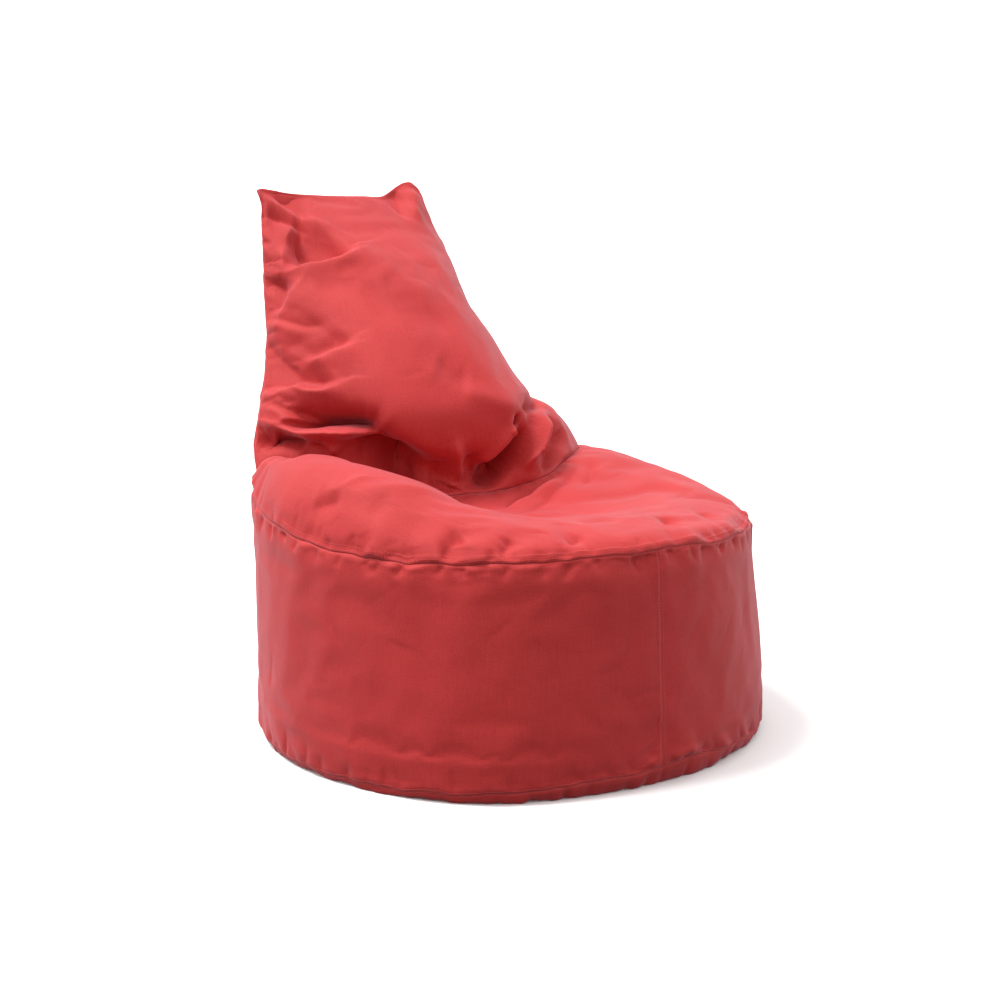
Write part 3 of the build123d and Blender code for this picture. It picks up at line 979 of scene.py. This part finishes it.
def bump(tree, height, distance, strength, normal=None):
    node = tree.nodes.new("ShaderNodeBump")
    node.inputs["Distance"].default_value = distance
    node.inputs["Strength"].default_value = strength
    feed(tree, node.inputs["Height"], height)
    feed(tree, node.inputs["Normal"], normal)
    return node.outputs["Normal"]


def woven_material(name, deep, light, period, sheen):
    """Woven cloth: slubs along both ways of the weave, uneven dye, a painted highlight that makes convex
    ridges paler, and a soft sheen.
    """
    material, tree, principled = shader(name)
    coordinates = tree.nodes.new("ShaderNodeTexCoord")
    uv = coordinates.outputs["UV"]
    warp = stretched_noise(tree, uv, 700, 16)
    fine_warp = stretched_noise(tree, uv, 1700, 60)
    weft = stretched_noise(tree, uv, 16, 620)
    dye = stretched_noise(tree, uv, 9, 9, 4)
    speckle = stretched_noise(tree, uv, 430, 390, 4)
    shares = ((warp, 0.20), (fine_warp, 0.16), (weft, 0.12), (dye, 0.27), (speckle, 0.43))
    streaks = 0.0
    for texture, share in shares:
        streaks = math_node(tree, "ADD", math_node(tree, "MULTIPLY", texture, share), streaks)
    colour = ramp(tree, streaks, ((0.46, deep), (0.72, light)))
    geometry = tree.nodes.new("ShaderNodeNewGeometry")
    # Painted highlight: on convex ridges and fold crests the cloth colour is mixed towards a paler copy of
    # itself, standing in for the light that the ridges catch.
    ridge_highlight_mask = ramp(tree, geometry.outputs["Pointiness"], ((0.50, (0, 0, 0)), (0.56, (1, 1, 1))))
    ridge_highlight_colour = tuple(min(1.0, 1.10 * channel + 0.03) for channel in light)
    colour = mix_colour(tree, math_node(tree, "MULTIPLY", ridge_highlight_mask, 0.35), colour, ridge_highlight_colour)
    tree.links.new(colour, principled.inputs["Base Color"])
    weave = weave_height(tree, uv, period)
    shaped = bump(tree, weave, 0.00012, 0.5)
    shaped = bump(tree, warp, 0.0004, 0.12, shaped)
    shaped = bump(tree, speckle, 0.0004, 0.40, shaped)
    crumpled = stretched_noise(tree, uv, 60, 45, 4)
    shaped = bump(tree, crumpled, 0.0012, 0.35, shaped)
    tree.links.new(shaped, principled.inputs["Normal"])
    set_inputs(principled, Roughness=0.68, Sheen_Weight=sheen, Sheen_Roughness=0.40)
    principled.inputs["Sheen Tint"].default_value = (1.0, 0.80, 0.96, 1)
    principled.inputs["Specular IOR Level"].default_value = 0.35
    return material


def plain_material(name, colour, roughness, metallic=0.0, grain=0.0):
    """A smooth material with faint uneven colour and, for metal, fine rubbing marks."""
    material, tree, principled = shader(name)
    coordinates = tree.nodes.new("ShaderNodeTexCoord")
    patches = stretched_noise(tree, coordinates.outputs["Object"], 260, 260, 4)
    darker = tuple(0.82 * channel for channel in colour)
    tree.links.new(ramp(tree, patches, ((0.3, darker), (0.7, colour))), principled.inputs["Base Color"])
    tree.links.new(bump(tree, patches, 0.0002, grain), principled.inputs["Normal"])
    set_inputs(principled, Roughness=roughness, Metallic=metallic)
    return material


canvas = woven_material("canvas", (0.35, 0.0115, 0.0115), (0.485, 0.0255, 0.0250), 0.0012, 0.16)
tape_cloth = woven_material("zip_tape", (0.46, 0.020, 0.018), (0.62, 0.036, 0.032), 0.0010, 0.2)
liner_cloth = woven_material("liner", (0.62, 0.61, 0.58), (0.74, 0.73, 0.70), 0.0008, 0.1)
label_cloth = woven_material("label", (0.70, 0.69, 0.66), (0.80, 0.79, 0.76), 0.0006, 0.1)
thread = plain_material("canvas_thread", (0.56, 0.050, 0.048), 0.55)
coil_plastic = plain_material("zip_coil", (0.42, 0.016, 0.018), 0.35)
metal = plain_material("zip_metal", (0.60, 0.59, 0.57), 0.28, 1.0, 0.3)
bead_foam = plain_material("beads", (0.86, 0.86, 0.84), 0.75)


# ================================================================ the cover

cover = settle(outward_grids(cover_grids()))
front_seam_column = cells_deep + cells_across // 2
rear_seam_column = 2 * cells_deep + cells_across + cells_across // 2
ring_columns = 2 * cells_deep + 2 * cells_across
surfaces = {
    "seat_panel": seat_surface(cover["seat_panel"]),
    "backrest_front_panel": backrest_front_surface(cover["backrest_front_panel"]),
    "backrest_rear_panel": backrest_rear_surface(cover["backrest_rear_panel"]),
    "base_panel": base_surface(cover["base_panel"]),
    "side_band_left": band_surface(
        cover["side_band"], rear_seam_column - ring_columns, front_seam_column, 101
    ),
    "side_band_right": band_surface(cover["side_band"], front_seam_column, rear_seam_column, 131),
}


def ride(piece, body, slot_name, material, *nodes):
    piece.data.materials.append(material)
    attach(piece, body)
    if nodes:
        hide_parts(*nodes)


def zip_opening(grid):
    """Marks the cells of a band grid outside the slot that the zip fills."""
    centre = (grid[:-1, :-1] + grid[1:, 1:]) / 2
    from_rear = np.degrees(np.arctan2(centre[..., 0], centre[..., 1]))
    low = centre[..., 2] < zip_hem_z - 0.0005
    return ~(low & (np.abs(from_rear) < slot_half_arc) & (centre[..., 1] > 0))


panels = {}
for name, (grid, uv) in surfaces.items():
    keep = zip_opening(grid) if name.startswith("side_band") else None
    panels[name] = cloth_panel(name + "_canvas", grid, uv, canvas_thickness, keep)
    ride(panels[name], "bag", "canvas", canvas, name)


# ================================================================ the inner bag and the beads

def point_normals(points, quads):
    """The normal of each point of a closed mesh."""
    corners = points[quads]
    normal = np.cross(corners[:, 2] - corners[:, 0], corners[:, 3] - corners[:, 1])
    total = np.zeros_like(points)
    for k in range(4):
        np.add.at(total, quads[:, k], normal)
    return total / np.maximum(np.linalg.norm(total, axis=1, keepdims=True), 1e-12)


def relaxed(points, quads, passes):
    """The points after each has moved halfway to the middle of its neighbours, a few times."""
    for _ in range(passes):
        total = np.zeros_like(points)
        count = np.zeros(len(points))
        for k in range(4):
            np.add.at(total, quads[:, k], points[quads[:, (k + 1) % 4]])
            np.add.at(count, quads[:, k], 1)
        points = (points + total / count[:, None]) / 2
    return points


def hollowed(name, folds, axes):
    """A panel of the cover with its hollows pressed in, a little wider than they show."""
    grid = cover[name]
    low, high, left, right = edge_runs(panel_uv(grid))
    near = np.minimum(np.minimum(low, high), np.minimum(left, right))
    plan = grid[..., axes]
    depth = np.zeros(grid.shape[:2])
    for line, width, height, side in folds:
        if height < 0:
            depth += fold_height(plan, line, 1.6 * width + 0.006, 1.5 * height - 0.006)
    if name == "backrest_front_panel":
        room = 0.6 * np.minimum(high, np.minimum(left, right))
        room += 0.045 * smooth_step((0.54 - grid[..., 2]) / 0.05)
        behind = np.linalg.norm(cover["backrest_rear_panel"][:, ::-1] - grid, axis=-1)
        free = 0.6 * behind + 0.3 * smooth_step((0.66 - grid[..., 2]) / 0.06)
        depth = np.maximum(depth, -np.minimum(room, free))
    depth = np.maximum(depth, -0.11)
    return grid + grid_normals(grid) * (depth * smooth_step(near / 0.008))[..., None]


def drawn_in(grid):
    """A backrest panel with its top lowered and, above the drum, its sides moved in."""
    rows = np.linspace(0, cells_up_back - 9, cells_up_back + 1)
    lowered = hermite(grid, rows)
    for k, row in enumerate(lowered):
        side = 2.2 * float(smooth_step(k / 14))
        lowered[k] = hermite(row, np.linspace(side, cells_across - side, cells_across + 1))
    return lowered


def inner_cover(inset, passes):
    """The cover's panels moved inwards. The backrest's own top stays short of the ears."""
    grids = dict(cover)
    grids["seat_panel"] = hollowed("seat_panel", seat_folds, [0, 1])
    grids["backrest_front_panel"] = hollowed("backrest_front_panel", backrest_folds, [0, 2])
    points, quads, places = welded(grids)
    points = relaxed(points, quads, passes)
    points = points - point_normals(points, quads) * inset
    moved = {name: points[index] for name, index in places.items()}
    front = grids["backrest_front_panel"]
    rear = grids["backrest_rear_panel"][:, ::-1]
    front, rear = drawn_in(front), drawn_in(rear)
    gap = rear - front
    thickness = np.maximum(np.linalg.norm(gap, axis=-1, keepdims=True), 1e-9)
    shift = gap / thickness * np.minimum(1.25 * inset, 0.42 * thickness)
    front, rear = front + shift, rear - shift
    low = (1 - np.linspace(0, 1, len(front))[:, None, None]) ** 7
    front += low * (moved["backrest_front_panel"][:1] - front[:1])
    rear += low * (moved["backrest_rear_panel"][:1, ::-1] - rear[:1])
    for border in (np.s_[-1], np.s_[:, 0], np.s_[:, -1]):
        middle = (front[border] + rear[border]) / 2
        front[border] = middle
        rear[border] = middle
    front[0] = moved["backrest_front_panel"][0]
    rear[0] = moved["backrest_rear_panel"][0, ::-1]
    moved["backrest_front_panel"] = front
    moved["backrest_rear_panel"] = rear[:, ::-1]
    return moved


liner_grids = inner_cover(liner_inset, 1)
bead_points, bead_quads, _ = welded(inner_cover(bead_inset, 3))
beads = mesh_object("bead_filling", bead_points, bead_quads)
ride(beads, "bag", "beads", bead_foam, "bead_fill")
liners = {}
for name, grid in liner_grids.items():
    if name == "side_band":
        grid = np.concatenate([grid, grid[:, :1]], axis=1)
    liners[name] = cloth_panel("liner_" + name + "_cloth", grid, panel_uv(grid), 0.0004)
    ride(liners[name], "bag", "liner", liner_cloth, "liner_" + name)


# ================================================================ the zip

def arc_points(radius, height, degrees):
    """Points on the zip's arc; degrees are counted from straight behind, positive towards -X."""
    turn = np.radians(degrees)
    return np.stack([-radius * np.sin(turn), radius * np.cos(turn), height], axis=-1)


def tape(node, low, high):
    """One tape of the zip."""
    across = np.linspace(-tape_half_arc, tape_half_arc, 264)
    up = np.linspace(low, high, 9)
    degrees, height = np.meshgrid(across, up)
    grid = arc_points(np.full(degrees.shape, tape_radius), height, degrees)[:, ::-1]
    place = np.stack([np.radians(degrees) * tape_radius, height], -1)
    piece = cloth_panel(node + "_cloth", grid, place, 0.0011)
    ride(piece, "bag", "zip_tape", tape_cloth, node)
    return piece


def coil(node, middle, side):
    """One row of the zip's coil: a wound plastic thread whose turns reach towards the other row."""
    turns = 250
    steps = 14
    t = np.linspace(0, turns, turns * steps + 1)
    degrees = np.linspace(-zip_half_arc + 0.45, zip_half_arc - 0.45, len(t))
    wind = 2 * math.pi * t
    radius = coil_radius + coil_depth * np.cos(wind)
    height = middle + side * coil_reach * np.sin(wind)
    centre = arc_points(radius, height, degrees)
    ahead = np.gradient(centre, axis=0)
    ahead /= np.linalg.norm(ahead, axis=1, keepdims=True)
    out = centre * (1, 1, 0)
    out /= np.linalg.norm(out, axis=1, keepdims=True)
    side_way = np.cross(ahead, out)
    side_way /= np.linalg.norm(side_way, axis=1, keepdims=True)
    over = np.cross(side_way, ahead)
    ring = []
    for k in range(5):
        a = 2 * math.pi * k / 5
        ring.append(centre + coil_thread * (math.cos(a) * side_way + math.sin(a) * over))
    points = np.stack(ring, 1).reshape(-1, 3)
    index = np.arange(len(points)).reshape(-1, 5)
    quads = grid_quads(np.concatenate([index, index[:, :1]], axis=1))
    piece = mesh_object(node + "_turns", points, quads)
    ride(piece, "bag", "zip_coil", coil_plastic, node)
    return piece


tape("zip_tape_upper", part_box("zip_tape_upper")[0].z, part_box("zip_tape_upper")[1].z)
tape("zip_tape_lower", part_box("zip_tape_lower")[0].z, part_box("zip_tape_lower")[1].z)
coil("zip_coil_upper", (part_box("zip_coil_upper")[0].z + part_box("zip_coil_upper")[1].z) / 2, 1)
coil("zip_coil_lower", (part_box("zip_coil_lower")[0].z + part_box("zip_coil_lower")[1].z) / 2, -1)
for node in ("zip_slider", "zip_pull", "zip_stops"):
    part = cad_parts[node]
    for material_slot in part.material_slots:
        material_slot.material = metal
    edge = part.modifiers.new("edge", "BEVEL")
    edge.width = 0.0002
    edge.segments = 2
    edge.limit_method = "ANGLE"


# ================================================================ stitching

seam_margin = 0.0045          # from a seam to the stitches beside it


def sew(name, places, normals):
    """A row of stitches that rides with the bag."""
    ride(stitches(name, places, normals), "bag", "canvas", thread)


def sew_line(name, grid, line, keep):
    """Stitches along one row or column of a panel's grid."""
    sew(name, grid[line][keep], grid_normals(grid)[line][keep])


def seat_seam_row(name, inset):
    """A row of stitches on the seat, beside the seam with the band."""
    angle = np.linspace(-rear_corner + 2, rear_corner - 2, 900)
    outward = on_circle(angle, np.ones(len(angle)), np.zeros(len(angle)))
    normal = 0.8 * outward + np.array([0, 0, 0.6])
    along_cloth = -0.6 * outward + np.array([0, 0, 0.8])
    spots = on_circle(angle, *seam_shape(top_seam_knots, angle)) + inset * along_cloth
    sew(name, *on_surface(panels["seat_panel"], spots + 0.03 * normal, -normal))


seat_seam_row("stitch_seat_near", 0.0035)
seat_seam_row("stitch_seat_far", 0.0105)
for side, front_edge, rear_edge in (("left", 3, 2), ("right", 2, 3)):
    grid, uv = surfaces["side_band_" + side]
    edges = edge_runs(uv)
    up = uv[:, 0, 1]
    for end, edge in (("front", front_edge), ("rear", rear_edge)):
        column = near_edge(edges[edge][0], 0.0040)
        keep = (up > 0.006) & (up < up[-1] - 0.004)
        if end == "rear":
            keep &= grid[:, column, 2] > zip_hem_z + 0.004
        sew_line("stitch_band_%s_%s" % (side, end), grid, np.s_[:, column], keep)
    low_row = near_edge(up, seam_margin)
    sew_line("stitch_base_" + side, grid, np.s_[low_row], ~over_zip(grid[low_row]))
grid, uv = surfaces["backrest_front_panel"]
_, from_top, from_left, from_right = edge_runs(uv)
top = near_edge(from_top[:, 0], 0.0050)
for end, runs in (("left", from_left), ("right", from_right)):
    sew_line("stitch_backrest_" + end, grid, np.s_[:, near_edge(runs[0], seam_margin)], slice(3, top))
grid, uv = surfaces["backrest_rear_panel"]
sew_line("stitch_rear_low", grid, np.s_[near_edge(uv[:, 0, 1], seam_margin)], slice(4, -4))


# ================================================================ care label

label_low, label_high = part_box("care_label")
label_middle = math.degrees(math.atan2(
    (label_low.x + label_high.x) / 2, -(label_low.y + label_high.y) / 2
))
degrees, height = np.meshgrid(
    label_middle + np.linspace(-3.2, 3.2, 24), np.linspace(label_low.z, label_high.z, 16)
)
outward = on_circle(degrees.ravel(), np.ones(degrees.size), np.zeros(degrees.size))
spots = on_circle(degrees.ravel(), np.full(degrees.size, wall_radius + 0.03), height.ravel())
places, normals = on_surface(panels["side_band_right"], spots, -outward)
label_grid = (places + 0.0007 * outward).reshape(degrees.shape + (3,))
label = cloth_panel("care_label_cloth", label_grid, panel_uv(label_grid), 0.0005)
ride(label, "bag", "label", label_cloth, "care_label")

# ================================================================ floor, light and camera

def sweep():
    """A round floor that rises gently far from the object, so that no horizon shows."""
    rings = [(0.0, 0.0), (7.0, 0.0), (8.5, 0.12), (10.0, 0.5), (12.0, 1.3), (40.0, 14.0)]
    turn = np.linspace(0, 2 * math.pi, 65)[:-1]
    grid = np.array([
        np.stack([max(r, 0.001) * np.cos(turn), max(r, 0.001) * np.sin(turn), np.full(64, z)], -1)
        for r, z in rings
    ])
    index = np.arange(len(rings) * 64).reshape(len(rings), 64)
    quads = grid_quads(np.concatenate([index, index[:, :1]], axis=1))
    return mesh_object("floor", grid.reshape(-1, 3), quads[:, ::-1])


floor = sweep()
floor_material, _, floor_shader = shader("floor")
floor_shader.inputs["Base Color"].default_value = (0.94, 0.94, 0.94, 1)
floor_shader.inputs["Roughness"].default_value = 0.9
floor.data.materials.append(floor_material)
floor.visible_diffuse = False


def studio_world(stops, strength):
    """A soft white dome: stops give its brightness from the horizon up to straight overhead."""
    world = bpy.data.worlds.new("studio")
    world.use_nodes = True
    tree = world.node_tree
    direction = tree.nodes.new("ShaderNodeTexCoord").outputs["Generated"]
    split = tree.nodes.new("ShaderNodeSeparateXYZ")
    tree.links.new(direction, split.inputs[0])
    brightness = ramp(tree, split.outputs["Z"], [(place, (value, value, value)) for place, value in stops])
    tree.links.new(brightness, tree.nodes["Background"].inputs["Color"])
    tree.nodes["Background"].inputs["Strength"].default_value = strength
    bpy.context.scene.world = world


studio_world(((0.0, 0.06), (0.03, 0.50), (1.0, 1.0)), 1.45)


def aimed(holder, place, target):
    holder.location = place
    holder.rotation_mode = "QUATERNION"
    holder.rotation_quaternion = (Vector(target) - Vector(place)).to_track_quat("-Z", "Y")
    bpy.context.scene.collection.objects.link(holder)


def soft_sun(name, energy, spread, place):
    """A distant soft light of the given energy and spread in degrees."""
    light = bpy.data.lights.new(name, "SUN")
    light.energy = energy
    light.angle = math.radians(spread)
    aimed(bpy.data.objects.new(name, light), place, (0, 0, 0))


soft_sun("overhead", 3.2, 22, (-1.6, 1.0, 4.0))
soft_sun("left", 0.60, 40, (-3.4, 0.9, 1.3))
soft_sun("right", 0.22, 40, (2.8, -1.6, 1.2))

camera_data = bpy.data.cameras.new("camera")
camera_data.lens = camera_lens
camera_data.sensor_width = 36
camera = bpy.data.objects.new("camera", camera_data)
aimed(camera, camera_place, camera_target)
bpy.context.scene.camera = camera
bpy.context.scene.view_settings.view_transform = "Standard"
